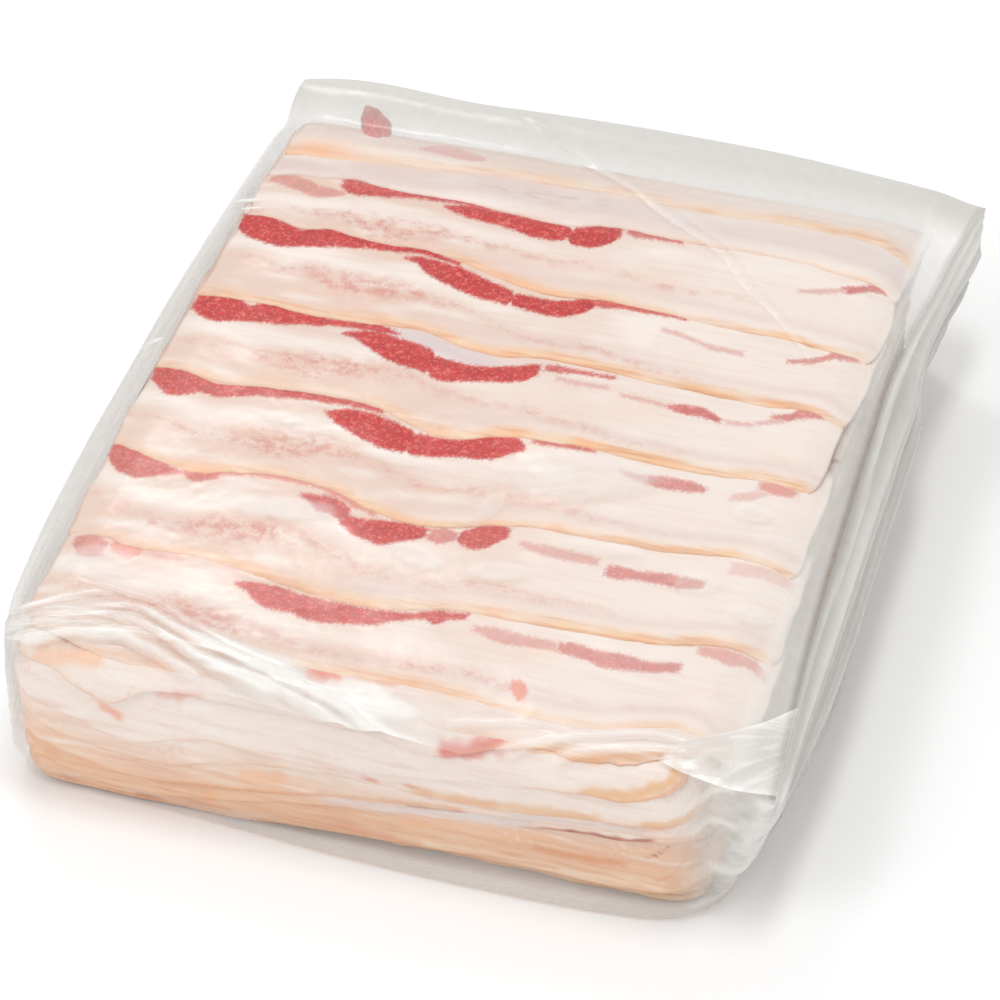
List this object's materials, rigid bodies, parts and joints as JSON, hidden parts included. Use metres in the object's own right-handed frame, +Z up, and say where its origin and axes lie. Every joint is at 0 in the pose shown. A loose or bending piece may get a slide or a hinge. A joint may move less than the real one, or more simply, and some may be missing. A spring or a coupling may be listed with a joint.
{
  "type": "bacon pack",
  "caption": "Catering pack of sliced bacon: a block of long shingled slices in a clear side-gusseted bag, lying flat.",
  "frame": {"origin": "centre of the bag's bounding box, on the surface it lies on", "axes": "+X along the slices to the pack's right, +Y from the folded front end to the straight crease at the back, +Z up"},
  "size_m": [0.2794, 0.346, 0.07],
  "materials": {
    "film": "clear thin film, glossy, with soft creases",
    "bacon": "moist cream fat with red lean streaks and tan smoked edges"
  },
  "bodies": {
    "root": {"bacon_bag": "film"}
  },
  "joints": []
}
